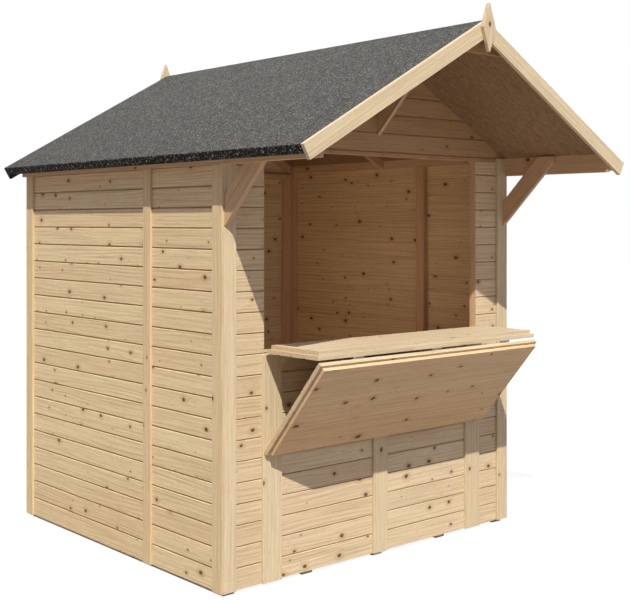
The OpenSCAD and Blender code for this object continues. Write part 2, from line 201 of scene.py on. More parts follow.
def knotMasks(group, given):
    # one possible knot in each cell of a loose lattice over the board's face
    cellSize = (knotCell["along"], knotCell["across"], 1.0)
    inCells = reckonVector(group, "MULTIPLY", given["Place"], (1 / cellSize[0], 1 / cellSize[1], 0.0))
    cells = group.nodes.new("ShaderNodeTexVoronoi")
    cells.voronoi_dimensions = "2D"
    cells.inputs["Scale"].default_value = 1.0
    cells.inputs["Randomness"].default_value = knotCell["scatter"]
    group.links.new(inCells, cells.inputs["Vector"])
    offset = reckonVector(group, "SUBTRACT", inCells, cells.outputs["Position"])
    offset = reckonVector(group, "MULTIPLY", offset, (cellSize[0] * knotCell["stretch"], cellSize[1], 0.0))
    reach = reckonVector(group, "LENGTH", offset, output=1)
    dice = group.nodes.new("ShaderNodeSeparateColor")
    group.links.new(cells.outputs["Color"], dice.inputs[0])
    chosen = reckon(group, "LESS_THAN", dice.outputs[0], given["Knot Share"])
    offEdge = reckon(group, "GREATER_THAN", given["Cut"], knotCell["shownAbove"])
    chosen = reckon(group, "MULTIPLY", chosen, offEdge)
    growth = ease(group, dice.outputs[1], *knotCell["sizeSpread"])
    size = reckon(group, "MULTIPLY", given["Knot Size"], growth)
    ragged = reckon(group, "SUBTRACT", speckle(group, given["Place"], knotCell["ragScale"], 1.0), 0.5)
    nearness = reckon(group, "ADD", reckon(group, "DIVIDE", reach, size), ragged)
    masks = [reckon(group, "MULTIPLY", ease(group, nearness, *knotCell[edge]), chosen)
             for edge in ("coreEdge", "heartEdge", "haloEdge")]
    sideways = group.nodes.new("ShaderNodeSeparateXYZ")
    group.links.new(offset, sideways.inputs[0])
    return sideways.outputs[1], *masks


def growRings(group, given, board):
    swell = grainNoise(group, board, "swell", roughness=0.45)
    turns = reckon(group, "MULTIPLY_ADD", swell, given["Ring Count"],
                   scaleBy(group, board[1], "ringsPerMetre"))
    ring = reckon(group, "FRACT", turns)
    late = reckon(group, "MULTIPLY", ease(group, ring, *pineGrain["ringRise"]),
                  ease(group, ring, *pineGrain["ringFall"]))
    strong = grainNoise(group, board, "strength", roughness=0.6)
    return reckon(group, "MULTIPLY", late, ease(group, strong, *pineGrain["strengthSpread"]))


def makePineFigure():
    group, given, out = openGroup(
        "pineFigure",
        [("Place", "Vector", None), ("Tone", "Float", 0.5), ("Cut", "Float", 0.0), ("Shade", "Float", 0.0),
         ("Pale Wood", "Color", None), ("Warm Wood", "Color", None), ("Late Wood", "Color", None),
         ("Knot Wood", "Color", None), ("Ring Strength", "Float", 0.5), ("Ring Count", "Float", 9.0),
         ("Knot Share", "Float", 0.4), ("Knot Size", "Float", 0.007)],
        [("Color", "Color"), ("Roughness", "Float"), ("Height", "Float")])
    split = group.nodes.new("ShaderNodeSeparateXYZ")
    group.links.new(given["Place"], split.inputs[0])
    along, across, deep = split.outputs

    # rings, pushed apart where a knot grows through them
    sideways, core, heart, halo = knotMasks(group, given)
    shove = scaleBy(group, reckon(group, "MULTIPLY", sideways, halo), "knotShove")
    board = (along, reckon(group, "SUBTRACT", across, shove), deep)
    late = growRings(group, given, board)
    streak = grainNoise(group, board, "streak", 3.0, 0.6)
    fibre = grainNoise(group, board, "fibre", roughness=0.6)

    # colour, from the board's own tone down to its knots
    wood = blendColours(group, given["Tone"], given["Pale Wood"], given["Warm Wood"])
    blotch = ease(group, grainNoise(group, board, "blotch"), *pineGrain["blotchEdge"])
    wood = blendColours(group, scaleBy(group, blotch, "blotchShare"), wood, given["Warm Wood"])
    streakLine = ease(group, streak, *pineGrain["streakEdge"])
    lines = shareOut(group, late, given["Ring Strength"], streakLine, pineGrain["streakShare"])
    wood = blendColours(group, lines, wood, given["Late Wood"])
    flecks = ease(group, grainNoise(group, board, "fleck", 1.0), *pineGrain["fleckSpread"])
    wood = blendColours(group, flecks, wood, given["Late Wood"])
    grit = reckon(group, "MULTIPLY", ease(group, fibre, *pineGrain["fibreGrit"]),
                  ease(group, streak, *pineGrain["streakGrit"]))
    wood = blendColours(group, 1.0, wood, joinVector(group, grit, grit, grit), "MULTIPLY")
    # Halo, knot core, heart and end grain are the wood's own colour; the last blend is painted shade on the
    # joint faces
    for mask, share, stainOrShade in ((halo, "haloShare", given["Late Wood"]),
                               (core, "coreShare", given["Knot Wood"]),
                               (heart, "heartShare", given["Late Wood"]),
                               (given["Cut"], "cutShare", given["Late Wood"]),
                               (given["Shade"], "shadeShare", pineGrain["paintedGrooveShade"])):
        wood = blendColours(group, scaleBy(group, mask, share), wood, stainOrShade)
    group.links.new(wood, out["Color"])
    dull = ease(group, fibre, *pineGrain["dullness"])
    group.links.new(reckon(group, "MULTIPLY_ADD", late, -pineGrain["ringGloss"], dull), out["Roughness"])
    relief = reckon(group, "MULTIPLY_ADD", late, pineGrain["ringHeight"],
                    scaleBy(group, fibre, "fibreHeight"))
    relief = reckon(group, "MULTIPLY_ADD", core, -pineGrain["knotSink"], relief)
    group.links.new(relief, out["Height"])
    return group


pineFigure = makePineFigure()

# The woods: pale and warm ground, late wood of the rings, and the share and size of the knots
knotBrown = (0.125, 0.044, 0.015)
planedGloss = 0.35
reliefDepth = 0.0008
woods = {
    # a copy of the wall pine tinted warmer and less blue: painted light for how the sun falls on the side
    # walls
    "side": {"pale": (0.74, 0.59, 0.337), "warm": (0.683, 0.515, 0.291), "late": (0.45, 0.275, 0.123),
             "rings": 0.5, "knotShare": 0.6, "knotSize": 0.0068},
    "wall": {"pale": (0.725, 0.59, 0.37), "warm": (0.67, 0.515, 0.32), "late": (0.44, 0.275, 0.135),
             "rings": 0.5, "knotShare": 0.6, "knotSize": 0.0068},
    # a darker, redder copy of the wall pine for the panels beside the opening: partly their own darker tone,
    # partly painted shade from the roof
    "panel": {"pale": (0.69, 0.55, 0.341), "warm": (0.64, 0.488, 0.295), "late": (0.43, 0.265, 0.13),
              "rings": 0.5, "knotShare": 0.55, "knotSize": 0.0064},
    "face": {"pale": (0.74, 0.525, 0.305), "warm": (0.68, 0.46, 0.25), "late": (0.46, 0.28, 0.13),
             "rings": 0.4, "knotShare": 0.42, "knotSize": 0.0095},
    # a darker, redder copy of the wall pine: painted shade for the front gable and apex gusset under the roof
    "roofShade": {"pale": (0.51, 0.31, 0.155), "warm": (0.475, 0.28, 0.13), "late": (0.335, 0.165, 0.065),
                  "rings": 0.5, "knotShare": 0.5, "knotSize": 0.0068},
    "trim": {"pale": (0.675, 0.55, 0.345), "warm": (0.635, 0.50, 0.31), "late": (0.48, 0.32, 0.17),
             "rings": 0.26, "knotShare": 0.27, "knotSize": 0.0062},
    # a copy of the trim pine tinted the same way: painted light for how the sun falls on the side trims
    "sideTrim": {"pale": (0.68, 0.52, 0.293), "warm": (0.64, 0.475, 0.263), "late": (0.48, 0.30, 0.145),
                 "rings": 0.36, "knotShare": 0.27, "knotSize": 0.0062},
    "frame": {"pale": (0.65, 0.445, 0.258), "warm": (0.60, 0.398, 0.225), "late": (0.42, 0.235, 0.107),
              "rings": 0.45, "knotShare": 0.2, "knotSize": 0.0066},
    "bearer": {"pale": (0.58, 0.44, 0.26), "warm": (0.54, 0.40, 0.24), "late": (0.38, 0.25, 0.13),
               "rings": 0.5, "knotShare": 0.25, "knotSize": 0.008, "relief": 0.6},
    "floor": {"pale": (0.60, 0.44, 0.26), "warm": (0.56, 0.40, 0.23), "late": (0.40, 0.25, 0.12),
              "rings": 0.5, "knotShare": 0.3, "knotSize": 0.007},
    "hatch": {"pale": (0.63, 0.52, 0.34), "warm": (0.58, 0.46, 0.29), "late": (0.46, 0.29, 0.14),
              "rings": 0.4, "knotShare": 0.2, "knotSize": 0.0080},
}


def makeWood(name, pale, warm, late, rings, knotShare, knotSize, ringCount=6.0, relief=0.25):
    material, tree, shader = openMaterial(name, planedGloss)
    figure = tree.nodes.new("ShaderNodeGroup")
    figure.node_tree = pineFigure
    tree.links.new(attribute(tree, "place", "Vector"), figure.inputs["Place"])
    # tone, end grain and the painted shade on joint faces are read from the mesh
    for label in ("tone", "cut", "shade"):
        tree.links.new(attribute(tree, label, "Fac"), figure.inputs[label.capitalize()])
    colours = {"Pale Wood": pale, "Warm Wood": warm, "Late Wood": late, "Knot Wood": knotBrown}
    for label, colour in colours.items():
        figure.inputs[label].default_value = (*colour, 1.0)
    measures = {"Ring Strength": rings, "Ring Count": ringCount,
                "Knot Share": knotShare, "Knot Size": knotSize}
    for label, value in measures.items():
        figure.inputs[label].default_value = value
    tree.links.new(figure.outputs["Color"], shader.inputs["Base Color"])
    tree.links.new(figure.outputs["Roughness"], shader.inputs["Roughness"])
    raiseBump(tree, shader, figure.outputs["Height"], relief, reliefDepth)
    return material


pine = {name: makeWood(name + "Pine", **look) for name, look in woods.items()}


# Roofing felt: stone grit of several greys pressed into dark bitumen; where the sheet is turned down it
# is darkened as painted shade, with pale grit chips showing on it
feltLook = {"grainScale": 420.0, "clusterScale": 190.0, "patchScale": 22.0, "grainShare": 0.45,
            "clusterShare": 0.55, "patchSwing": 0.24, "bitumen": (0.011, 0.0118, 0.0115, 1),
            "grit": (0.073, 0.071, 0.057, 1), "paleGrit": (0.25, 0.236, 0.185, 1), "gritEdge": (0.15, 0.8),
            "paleEdge": (0.62, 0.9), "turnedShade": 0.76, "chip": (0.42, 0.41, 0.36, 1),
            "chipSpread": (0.8, 0.93, 0.0, 0.42), "roughness": (0.72, 0.95), "lumpShare": 0.8,
            "relief": 0.8, "reliefDepth": 0.0012, "gloss": 0.3}


def makeFelt():
    material, tree, shader = openMaterial("mineralFelt", feltLook["gloss"])
    place = tree.nodes.new("ShaderNodeTexCoord").outputs["Object"]
    grainShade, grainReach = cellShade(tree, place, feltLook["grainScale"])
    clusterShade = cellShade(tree, place, feltLook["clusterScale"])[0]
    mixed = shareOut(tree, grainShade, feltLook["grainShare"], clusterShade, feltLook["clusterShare"])
    patch = speckle(tree, place, feltLook["patchScale"], 4.0, 0.65)
    swing = feltLook["patchSwing"]
    mixed = reckon(tree, "ADD", mixed, reckon(tree, "MULTIPLY_ADD", patch, swing, -swing / 2))
    gritty = ease(tree, mixed, *feltLook["gritEdge"])
    colour = blendColours(tree, gritty, feltLook["bitumen"], feltLook["grit"])
    bright = ease(tree, mixed, *feltLook["paleEdge"])
    colour = blendColours(tree, bright, colour, feltLook["paleGrit"])
    # The turned-down fold, drop, flap and tail are darkened as painted shade; pale grit chips show on them
    turned = attribute(tree, "shade", "Fac")
    shadeFactor = reckon(tree, "MULTIPLY_ADD", turned, -feltLook["turnedShade"], 1.0)
    colour = blendColours(tree, 1.0, colour, joinVector(tree, shadeFactor, shadeFactor, shadeFactor), "MULTIPLY")
    chips = reckon(tree, "MULTIPLY", turned, ease(tree, clusterShade, *feltLook["chipSpread"]))
    colour = blendColours(tree, chips, colour, feltLook["chip"])
    tree.links.new(colour, shader.inputs["Base Color"])
    rough = ease(tree, grainShade, 0.0, 1.0, *feltLook["roughness"])
    tree.links.new(rough, shader.inputs["Roughness"])
    lumps = reckon(tree, "ADD", grainReach, reckon(tree, "MULTIPLY", clusterShade, feltLook["lumpShare"]))
    raiseBump(tree, shader, lumps, feltLook["relief"], feltLook["reliefDepth"])
    return material


# Bare strand board under the felt
strandLook = {"flake": (36.0, 120.0, 36.0), "fine": (90.0, 260.0, 90.0), "flowScale": 5.0,
              "swirl": (0.05, 0.05, 0.05), "flakeShare": 0.4, "fineShare": 0.6,
              "dark": (0.21, 0.13, 0.066, 1), "pale": (0.32, 0.205, 0.112, 1), "paleEdge": (0.15, 0.85),
              "roughness": (0.6, 0.8), "relief": 0.4, "reliefDepth": 0.0008, "gloss": 0.25}


def makeDeckBoard():
    material, tree, shader = openMaterial("strandBoard", strandLook["gloss"])
    place = tree.nodes.new("ShaderNodeTexCoord").outputs["Object"]
    flow = speckle(tree, place, strandLook["flowScale"])
    swirl = reckonVector(tree, "MULTIPLY_ADD", joinVector(tree, flow, flow, flow), strandLook["swirl"], place)
    flakes = cellShade(tree, reckonVector(tree, "MULTIPLY", swirl, strandLook["flake"]), 1.0)[0]
    fine = speckle(tree, reckonVector(tree, "MULTIPLY", swirl, strandLook["fine"]), 1.0, 3.0, 0.6)
    mixed = shareOut(tree, flakes, strandLook["flakeShare"], fine, strandLook["fineShare"])
    paleness = ease(tree, mixed, *strandLook["paleEdge"])
    colour = blendColours(tree, paleness, strandLook["dark"], strandLook["pale"])
    tree.links.new(colour, shader.inputs["Base Color"])
    rough = ease(tree, fine, 0.2, 0.8, *strandLook["roughness"])
    tree.links.new(rough, shader.inputs["Roughness"])
    raiseBump(tree, shader, mixed, strandLook["relief"], strandLook["reliefDepth"])
    return material


# Zinc plated steel of the hinges and nails, with a faint drawn grain
steelLook = {"drawn": (60.0, 900.0, 900.0), "cloudScale": 60.0, "dull": (0.42, 0.39, 0.33, 1),
             "bright": (0.54, 0.50, 0.42, 1), "brightEdge": (0.3, 0.7), "roughness": (0.28, 0.5)}


def makeSteel():
    material, tree, shader = openMaterial("zincSteel")
    shader.inputs["Metallic"].default_value = 1.0
    place = tree.nodes.new("ShaderNodeTexCoord").outputs["Object"]
    drawn = speckle(tree, reckonVector(tree, "MULTIPLY", place, steelLook["drawn"]), 1.0, 3.0)
    cloud = speckle(tree, place, steelLook["cloudScale"], 3.0)
    brightness = ease(tree, cloud, *steelLook["brightEdge"])
    colour = blendColours(tree, brightness, steelLook["dull"], steelLook["bright"])
    tree.links.new(colour, shader.inputs["Base Color"])
    rough = ease(tree, drawn, 0.2, 0.8, *steelLook["roughness"])
    tree.links.new(rough, shader.inputs["Roughness"])
    return material


feltGrit = makeFelt()
deckBoard = makeDeckBoard()
zincSteel = makeSteel()
print("materials made")


# A stock gathers the solids of one piece. Each solid is cut from its own place in a wide log, and each
# point keeps where it lies along, across and through its board.
sawing = {"log": (60, 60, 9), "endFacing": 0.4, "edgeFacing": 0.9}


def emptyStock():
    return {"points": [], "faces": [], "place": [], "tone": [], "cut": [], "shade": []}


def cutMark(facing, along, across):
    # 1 on end grain, -1 on the long edges, where no knot is drawn, and 0 on the broad faces
    if abs(facing.dot(along)) > sawing["endFacing"]:
        return 1.0
    return -1.0 if abs(facing.dot(across)) > sawing["edgeFacing"] else 0.0


def addSolid(stock, points, faces, grain, draw, grooved=()):
    along, across = grain[:2]
    shift = [draw.uniform(0, reach) for reach in sawing["log"]]
    tone = draw.uniform(0, 1)
    first = len(stock["points"])
    for point in points:
        stock["points"].append(tuple(point))
        stock["place"] += [point.dot(axis) + start for axis, start in zip(grain, shift)]
        stock["tone"].append(tone)
    for number, face in enumerate(faces):
        facing = faceNormal([points[i] for i in face])
        stock["faces"].append([first + i for i in face])
        # 1 marks a face for painted shade
        stock["shade"].append(1.0 if number in grooved else 0.0)
        stock["cut"].append(cutMark(facing, along, across))


def makePiece(name, stock, material, body, slotName, *replaced, smoothAngle=None):
    mesh = bpy.data.meshes.new(name)
    mesh.from_pydata(stock["points"], [], stock["faces"])
    for label, kind, domain, field in (("place", "FLOAT_VECTOR", "POINT", "vector"),
                                       ("tone", "FLOAT", "POINT", "value"),
                                       ("cut", "FLOAT", "FACE", "value"),
                                       ("shade", "FLOAT", "FACE", "value")):
        mesh.attributes.new(label, kind, domain).data.foreach_set(field, stock[label])
    whole = bmesh.new()
    whole.from_mesh(mesh)
    bmesh.ops.recalc_face_normals(whole, faces=whole.faces)
    whole.to_mesh(mesh)
    whole.free()
    if smoothAngle:
        mesh.shade_smooth()
        mesh.set_sharp_from_angle(angle=radians(smoothAngle))
    mesh.materials.append(material)
    piece = putInScene(name, mesh)
    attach(piece, body)
    if replaced:
        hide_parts(*replaced)
    return piece


def solidsOf(node):
    whole = bmesh.new()
    whole.from_mesh(cadNodes[node].data)
    bmesh.ops.remove_doubles(whole, verts=whole.verts, dist=closeness["weld"])
    bmesh.ops.dissolve_limit(whole, angle_limit=radians(closeness["flatDegrees"]),
                             verts=whole.verts[:], edges=whole.edges[:])
    whole.verts.index_update()
    label = {}
    for start in whole.verts:
        if start.index in label:
            continue
        label[start.index] = start.index
        waiting = [start]
        while waiting:
            for edge in waiting.pop().link_edges:
                for vert in edge.verts:
                    if vert.index not in label:
                        label[vert.index] = start.index
                        waiting.append(vert)
    solids = []
    for one in sorted(set(label.values())):
        solid = whole.copy()
        solid.verts.index_update()
        bmesh.ops.delete(solid, geom=[v for v in solid.verts if label[v.index] != one], context="VERTS")
        solids.append(solid)
    return solids


# Tongue and groove boards with a V joint: each has an eased lower edge that stands over a slot, both
# painted with shade, and a lip that the next board sits behind
wallBoard = {"pitch": 0.090, "slot": 0.0022, "underRun": 0.0046, "underDepth": 0.0038,
             "lipRun": 0.0027, "lipDepth": 0.0023, "innerEase": 0.0007, "tongueIn": 0.0065}
frontBoard = {"pitch": 0.090, "slot": 0.0017, "underRun": 0.0032, "underDepth": 0.0030,
              "lipRun": 0.0025, "lipDepth": 0.0019, "innerEase": 0.0007, "tongueIn": 0.0055}
smoothBoard = {"pitch": 0.084, "slot": 0.0004, "underRun": 0.0007, "underDepth": 0.0008,
               "lipRun": 0.0007, "lipDepth": 0.0008, "innerEase": 0.0005, "tongueIn": 0.006}
boardLay = {"topGap": 0.0004, "leastCourse": 0.003, "leastStep": 0.002, "tongueCover": 0.002,
            "grooveDepth": 0.004, "facing": 0.7}


def stepped(knots, height):
    heights = [h for h, value in knots]
    i = min(max(bisect_right(heights, height) - 1, 0), len(knots) - 2)
    (low, first), (high, second) = knots[i], knots[i + 1]
    if high - low < closeness["same"]:
        return second
    share = min(max((height - low) / (high - low), 0.0), 1.0)
    return first + (second - first) * share


def boardProfile(cut, low, high, jointBelow, jointAbove, thickness):
    bevel = cut["innerEase"]
    outer, inner = [], []
    if jointBelow:
        low += cut["slot"]
        outer += [(low, cut["underDepth"]), (low + cut["underRun"], 0.0)]
        inner += [(low, thickness - bevel), (low + bevel, thickness)]
    else:
        outer.append((low, 0.0))
        inner.append((low, thickness))
    if jointAbove:
        outer += [(high - cut["lipRun"], 0.0), (high, cut["lipDepth"])]
        inner += [(high - bevel, thickness), (high, thickness - bevel)]
    else:
        outer.append((high, 0.0))
        inner.append((high, thickness))
    return outer, inner


def sidesBetween(outline, low, high):
    crossing = []
    for (a, b) in zip(outline, outline[1:] + outline[:1]):
        bottom, top = (a, b) if a[1] < b[1] else (b, a)
        spans = bottom[1] <= low + closeness["hair"] and top[1] >= high - closeness["hair"]
        if spans and top[1] - bottom[1] > closeness["hair"]:
            crossing.append((bottom, top))

    def at(side, height):
        (s0, h0), (s1, h1) = side
        return s0 + (s1 - s0) * (height - h0) / (h1 - h0)

    crossing.sort(key=lambda side: at(side, (low + high) / 2))
    return [(lambda h, side=side: at(side, h)) for side in crossing]


def addLadder(stock, rungs, axes, draw):
    along, up, outward = axes
    points, faces = [], []
    for left, right, height, outerAt, innerAt in rungs:
        for s, d in ((left, outerAt), (right, outerAt), (right, innerAt), (left, innerAt)):
            points.append(along * s + up * height + outward * d)
    last = len(rungs) - 1
    for k in range(last):
        for j in range(4):
            a, b = 4 * k + j, 4 * k + (j + 1) % 4
            faces.append((a, b, b + 4, a + 4))
    faces += [(3, 2, 1, 0), (4 * last, 4 * last + 1, 4 * last + 2, 4 * last + 3)]
    outers = [outerAt for left, right, height, outerAt, innerAt in rungs]
    # Faces that step back going up, or lie deep in the joint, are marked for painted shade
    deepest = max(outers) - boardLay["grooveDepth"]
    grooved = {4 * k for k in range(last)
               if outers[k + 1] > outers[k] + closeness["weld"] or outers[k + 1] < deepest}
    addSolid(stock, points, faces, (along, up, outward), draw, grooved)


def addCourse(stock, outline, reach, joints, cut, skins, axes, seed):
    bottom, top = reach
    surface, thickness = skins
    outer, inner = boardProfile(cut, bottom, top, *joints, thickness)
    margin = boardLay["leastStep"]
    corners = sorted(h for s, h in outline if bottom + margin < h < top - margin)
    heights = [outer[0][0]] + corners + [top]
    for start, end in zip(heights, heights[1:]):
        if end - start < closeness["weld"]:
            continue
        sides = sidesBetween(outline, start, end)
        for left, right in zip(sides[::2], sides[1::2]):
            levels = sorted({start, end, *(h for h, d in outer + inner if start < h < end)})
            rungs = [(left(h), right(h), h, surface - stepped(outer, h), surface - stepped(inner, h))
                     for h in levels]
            if joints[1] and end == top:
                tongue = (surface - cut["tongueIn"], surface - thickness + boardLay["tongueCover"])
                rungs += [(left(h), right(h), h, *tongue) for h in (end, end + cut["slot"])]
            addLadder(stock, rungs, axes, Random(seed))


def raiseBoards(stock, solid, outward, along, upHint, cut, draw, courseStart=None):
    facing = [f for f in solid.faces if f.normal.dot(outward) > boardLay["facing"]]
    face = max(facing, key=lambda f: f.calc_area())
    outward = face.normal.normalized()
    up = outward.cross(along)
    if up.dot(upHint) < 0:
        up = -up
    surface = face.verts[0].co.dot(outward)
    thickness = surface - min(v.co.dot(outward) for v in solid.verts)
    outline = [(v.co.dot(along), v.co.dot(up)) for v in face.verts]
    low = min(h for s, h in outline)
    high = max(h for s, h in outline) - boardLay["topGap"]
    pitch = cut["pitch"]
    if courseStart is None:
        pitch = (high - low) / round((high - low) / pitch)
        courseStart = low
    course = floor((low - courseStart) / pitch + closeness["level"])
    while courseStart + course * pitch < high - boardLay["leastCourse"]:
        bottom = max(low, courseStart + course * pitch)
        top = min(high, courseStart + (course + 1) * pitch)
        if top > high - boardLay["leastCourse"]:
            top = high
        joints = (bottom > low + closeness["level"], top < high - closeness["level"])
        addCourse(stock, outline, (bottom, top), joints, cut, (surface, thickness), (along, up, outward),
                  draw.random())
        course += 1


def boardPiece(name, node, material, body, slotName, outward, along, upHint, cut=wallBoard, courseStart=None):
    stock = emptyStock()
    draw = Random(name)
    for solid in solidsOf(node):
        raiseBoards(stock, solid, outward, along, upHint, cut, draw, courseStart)
        solid.free()
    return makePiece(name, stock, material, body, slotName, node)


# Planed timber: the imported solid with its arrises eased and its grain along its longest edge
planing = {"segments": 2, "profile": 0.6, "sideFacing": 0.3}


def addTimber(stock, solid, arris, draw, along=None):
    if along is None:
        edge = max(solid.edges, key=lambda e: e.calc_length())
        along = (edge.verts[1].co - edge.verts[0].co).normalized()
        if along.dot(Vector((1, 1, 1))) < 0:
            along = -along

    def extent(direction):
        reaches = [v.co.dot(direction) for v in solid.verts]
        return max(reaches) - min(reaches)

    sides = [f.normal.copy() for f in solid.faces if abs(f.normal.dot(along)) < planing["sideFacing"]]
    deep = min(sides, key=extent)
    deep = (deep - along * deep.dot(along)).normalized()
    across = along.cross(deep)
    bmesh.ops.bevel(solid, geom=solid.edges[:], offset=arris, segments=planing["segments"],
                    profile=planing["profile"], affect="EDGES", clamp_overlap=True)
    solid.verts.index_update()
    points = [v.co.copy() for v in solid.verts]
    faces = [[v.index for v in f.verts] for f in solid.faces]
    addSolid(stock, points, faces, (along, across, deep), draw)


def timberPiece(name, node, material, slotName, arris=0.0015, body="stall", along=None, smoothAngle=None):
    stock = emptyStock()
    draw = Random(name)
    for solid in solidsOf(node):
        addTimber(stock, solid, arris, draw, along)
        solid.free()
    return makePiece(name, stock, material, body, slotName, node, smoothAngle=smoothAngle)


# Walls and gables
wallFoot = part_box("left_wall_boards")[0].z
walls = [
    # the side walls take the pine tinted as painted sunlight
    ("leftWall", "left_wall_boards", "side", wallBoard, -acrossFront, frontToBack),
    ("rightWall", "right_wall_boards", "side", wallBoard, acrossFront, frontToBack),
    ("backWall", "back_wall_boards", "wall", wallBoard, frontToBack, acrossFront),
    ("rearGable", "rear_gable_boards", "wall", wallBoard, frontToBack, acrossFront),
    # the panels beside the opening take the pine that is partly painted shade
    ("frontSidePanels", "front_side_panels", "panel", frontBoard, -frontToBack, acrossFront),
    ("lowerFrontPanels", "lower_front_panels", "wall", frontBoard, -frontToBack, acrossFront),
    # the front gable takes the pine with painted shade
    ("frontGable", "front_gable_boards", "roofShade", wallBoard, -frontToBack, acrossFront),
]
for name, node, wood, cut, outward, along in walls:
    boardPiece(name, node, pine[wood], "stall", "wall_board", outward, along, upwards, cut, wallFoot)
boardPiece("floorBoards", "floor_deck", pine["floor"], "stall", "floor_board", upwards, acrossFront,
           frontToBack, cut=smoothBoard)
print("boards raised")

# Trims, framing and roof timbers
trims = ["corner_face_trims", "corner_side_trims", "side_cover_battens", "back_cover_batten", "front_battens",
         "hatch_ledger", "eave_rails", "left_bargeboard", "right_bargeboard", "rear_verge_boards"]
framing = ["side_wall_studs", "end_wall_studs", "bottom_rails", "top_rails", "sill", "lintel",
           "left_eave_beam", "right_eave_beam", "knee_braces", "ridge_brace", "ridge_board",
           "left_rafters", "right_rafters", "apex_gusset"]


def pieceName(node):
    first, *rest = node.split("_")
    return first + "".join(word.capitalize() for word in rest) + "Planed"


for node in trims:
    # side trims take the trim pine tinted as painted sunlight
    wood = "sideTrim" if "side" in node else "trim"
    timberPiece(pieceName(node), node, pine[wood], "trim_wood")
for node in framing:
    # the apex gusset takes the pine with painted shade
    wood, along = ("roofShade", acrossFront) if node == "apex_gusset" else ("frame", None)
    timberPiece(pieceName(node), node, pine[wood], "frame_wood", along=along)
for node in ("front_finial", "rear_finial"):
    timberPiece(pieceName(node), node, pine["trim"], "trim_wood", arris=0.002, along=upwards)
timberPiece("floorBearersSawn", "floor_bearers", pine["bearer"], "bearer_wood", arris=0.002)
print("timbers planed")

# Hatch leaves: grooved boards on the weather side, smooth ones on the inner side
towardsWall = Vector((0, 0.75, 0.65))
leaves = [
    ("counterOuterBoards", "counter_outer_boards", "hatch", "counter", wallBoard, -upwards, frontToBack),
    ("counterTopBoards", "counter_top", "hatch", "counter", smoothBoard, upwards, frontToBack),
    ("propOuterBoards", "prop_outer_boards", "hatch", "prop", wallBoard, towardsWall, upwards),
    ("propFaceBoards", "prop_face_boards", "face", "prop", smoothBoard, -towardsWall, upwards),
]
for name, node, wood, body, cut, outward, upHint in leaves:
    boardPiece(name, node, pine[wood], body, "hatch_wood", outward, acrossFront, upHint, cut)
for node, body in (("fixed_hinges", "stall"), ("counter_hinges", "counter"), ("prop_hinges", "prop")):
    timberPiece(pieceName(node).replace("Planed", "Plates"), node, zincSteel, "hinge_steel", arris=0.0003,
                body=body, along=acrossFront, smoothAngle=35)
print("hatch hung")

# Roof: the bare deck stays as packed, and the felt is dressed over it
for side in ("left", "right"):
    deck = cadNodes[side + "_roof_deck"]
    deck.data.materials.clear()
    deck.data.materials.append(deckBoard)

feltLay = {"foldRadius": 0.006, "alongStep": 0.05, "slopeSteps": 26, "foldSteps": 6, "dropSteps": 4,
           "flapSteps": 24, "flapRows": 3, "flapHead": 0.5, "flapFold": 0.5, "flapSink": 0.5,
           "flapWaveScale": 9.0, "wave": 0.0009, "waveScale": 4.5, "waveMean": 0.7, "waveSwing": 0.5,
           "waveStart": (3.1, 0.4, 7.7), "lapThickness": 0.0016, "flapSeed": 7, "tailSeed": 3}


def feltSection(verts, front):
    # the felt's corners at its front end: at the ridge, over the eave, at its hem and under the ridge
    section = [v for v in verts if v.y < front + closeness["level"]]
    ridge = max(section, key=lambda v: v.z)
    brow = max(section, key=lambda v: abs(v.x))
    hem = min(section, key=lambda v: v.z)
    inside = [v for v in section if v.z < ridge.z - closeness["level"] and abs(v.x) < closeness["level"]]
    return ridge, brow, hem, max(inside, key=lambda v: v.z)


def feltPath(ridge, brow, hem, down, out):
    # from the ridge down the slope, round the fold and down the drop, with the way each spot faces
    radius = feltLay["foldRadius"]
    length = (brow - ridge).length
    drop = (hem - brow).length
    path = []
    for i in range(feltLay["slopeSteps"] + 1):
        path.append((ridge + down * ((length - radius) * i / feltLay["slopeSteps"]), out))
    centre = brow - down * radius - out * radius
    for i in range(1, feltLay["foldSteps"] + 1):
        turn = pi / 2 * i / feltLay["foldSteps"]
        way = out * cos(turn) + down * sin(turn)
        path.append((centre + way * radius, way))
    for i in range(1, feltLay["dropSteps"] + 1):
        path.append((brow - out * (radius + (drop - radius) * i / feltLay["dropSteps"]), down))
    return path


def skinFaces(rows, columns):
    # a closed sheet whose points lie in rows, each an outer point followed by its inner one
    wide = 2 * (columns + 1)
    faces = []
    for j in range(rows):
        for k in range(columns):
            a = j * wide + 2 * k
            faces.append((a, a + 2, a + wide + 2, a + wide))
            faces.append((a + 1, a + wide + 1, a + wide + 3, a + 3))
        first, last = j * wide, (j + 1) * wide - 2
        faces.append((first, first + wide, first + wide + 1, first + 1))
        faces.append((last, last + 1, last + wide + 1, last + wide))
    for k in range(columns):
        a, b = 2 * k, rows * wide + 2 * k
        faces.append((a, a + 1, a + 3, a + 2))
        faces.append((b, b + 2, b + 3, b + 1))
    return faces


